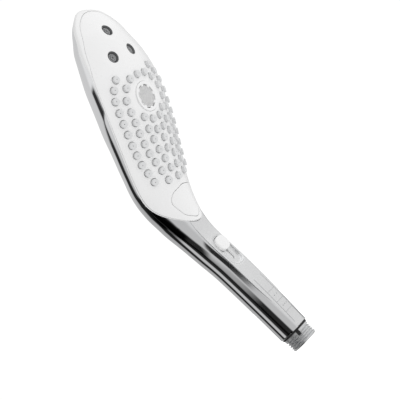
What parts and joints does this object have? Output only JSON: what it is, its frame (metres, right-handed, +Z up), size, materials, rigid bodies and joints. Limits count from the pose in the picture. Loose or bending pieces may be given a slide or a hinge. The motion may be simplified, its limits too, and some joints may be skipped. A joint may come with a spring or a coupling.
{
  "type": "handheld shower head",
  "caption": "Handheld shower head with a long oval spray face, silicone nozzles, mode button, sliding flow control and threaded hose end.",
  "frame": {"origin": "centre of the sealing end face of the hose thread", "axes": "+Z up along the handle's axis towards the head, -Y out of the front where the spray face, button and slider are, X across the head"},
  "size_m": [0.071, 0.0891, 0.2679],
  "materials": {
    "chrome": "mirror",
    "white_plastic": "semi-gloss",
    "silicone": "matt",
    "inner_plastic": "matt",
    "seal_rubber": "matt",
    "jet_plastic": "satin",
    "mesh_metal": "satin",
    "spring_steel": "bright",
    "valve_plastic": "matt",
    "satin_metal": "satin",
    "inlay_satin": "satin",
    "thread_metal": "machined",
    "limiter_plastic": "matt"
  },
  "bodies": {
    "handset": {"rear_shell": "chrome", "end_collar": "chrome", "trim_ring": "white_plastic", "face_plate": "white_plastic", "nozzle_mat": "silicone", "nozzle_nubs": "silicone", "manifold_plate": "inner_plastic", "manifold_gasket": "seal_rubber", "manifold_wall": "inner_plastic", "manifold_cover": "inner_plastic", "jet_sleeve_1": "jet_plastic", "jet_sleeve_2": "jet_plastic", "jet_sleeve_3": "jet_plastic", "jet_core_1": "jet_plastic", "jet_core_2": "jet_plastic", "jet_core_3": "jet_plastic", "centre_nozzle_ring": "white_plastic", "centre_nozzle_screen": "mesh_metal", "centre_swirl_disc": "inner_plastic", "mode_button_spring": "spring_steel", "button_guide": "inner_plastic", "diverter_housing": "inner_plastic", "diverter_seal": "seal_rubber", "mode_ducts": "inner_plastic", "feed_tube": "inner_plastic", "inlet_tube": "inner_plastic", "tube_orings": "seal_rubber", "tube_collar": "inner_plastic", "valve_body": "inner_plastic", "slider_tray": "satin_metal", "handle_inlay": "inlay_satin", "hose_nipple": "thread_metal", "end_seal": "seal_rubber", "inlet_strainer": "mesh_metal", "flow_limiter": "limiter_plastic"},
    "mode_button": {"mode_button": "white_plastic", "button_plunger": "inner_plastic"},
    "diverter": {"diverter_rotor": "valve_plastic"},
    "flow_slider": {"slider_knob": "white_plastic", "slider_carriage": "inner_plastic", "valve_spool": "valve_plastic"}
  },
  "joints": [
    {"name": "mode_button_press", "type": "slide", "parent": "handset", "child": "mode_button", "axis": [0, 0.9365, 0.3507], "range_m": [0, 0.0025], "stiffness_N_per_m": 600, "springref_m": -0.004, "deforming": ["mode_button_spring"]},
    {"name": "diverter_turn", "type": "hinge", "parent": "handset", "child": "diverter", "pos_m": [0, -0.00762, 0.12939], "axis": [0, 0.9365, 0.3507], "range_deg": [0, 60]},
    {"name": "flow_slide", "type": "slide", "parent": "handset", "child": "flow_slider", "axis": [0, 0, -1], "range_m": [0, 0.0125]}
  ],
  "couplings": [
    {"joint": "diverter_turn", "follows": "mode_button_press", "rad_per_m": 418.88}
  ]
}
